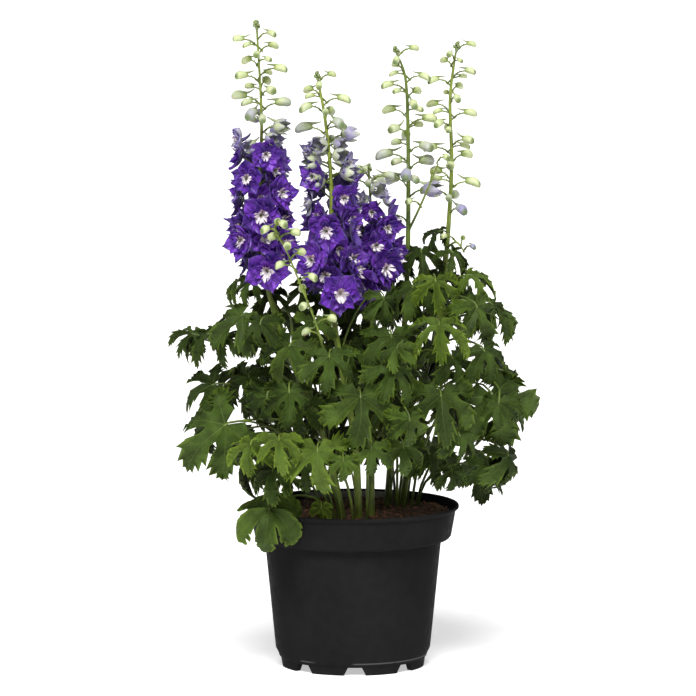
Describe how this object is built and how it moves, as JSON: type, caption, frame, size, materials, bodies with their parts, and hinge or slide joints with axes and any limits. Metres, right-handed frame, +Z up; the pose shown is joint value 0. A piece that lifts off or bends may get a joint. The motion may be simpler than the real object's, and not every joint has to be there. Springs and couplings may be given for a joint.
{
  "type": "potted delphinium",
  "caption": "Delphinium with flower spikes in bloom and in bud over a mound of cut leaves, growing in a round nursery pot filled with peat.",
  "frame": {"origin": "middle of the pot's foot, on the surface that the pot stands on", "axes": "+Z up along the stems, -Y towards the front of the plant, +X to its right"},
  "size_m": [0.3947, 0.3202, 0.708],
  "materials": {
    "pot": "matte black moulded plastic",
    "peat": "rough dark brown peat",
    "foliage": "soft green leaf and stem",
    "petals": "soft violet petals with a pale eye"
  },
  "bodies": {
    "root": {"basal_leaf_1": "foliage", "basal_leaf_10": "foliage", "basal_leaf_11": "foliage", "basal_leaf_12": "foliage", "basal_leaf_13": "foliage", "basal_leaf_14": "foliage", "basal_leaf_15": "foliage", "basal_leaf_16": "foliage", "basal_leaf_17": "foliage", "basal_leaf_18": "foliage", "basal_leaf_19": "foliage", "basal_leaf_2": "foliage", "basal_leaf_20": "foliage", "basal_leaf_3": "foliage", "basal_leaf_4": "foliage", "basal_leaf_5": "foliage", "basal_leaf_6": "foliage", "basal_leaf_7": "foliage", "basal_leaf_8": "foliage", "basal_leaf_9": "foliage", "flowers_front": "petals", "flowers_left": "petals", "flowers_middle": "petals", "pot": "pot", "soil": "peat", "stem_far_right": "foliage", "stem_front": "foliage", "stem_left": "foliage", "stem_middle": "foliage", "stem_right": "foliage"}
  },
  "joints": []
}
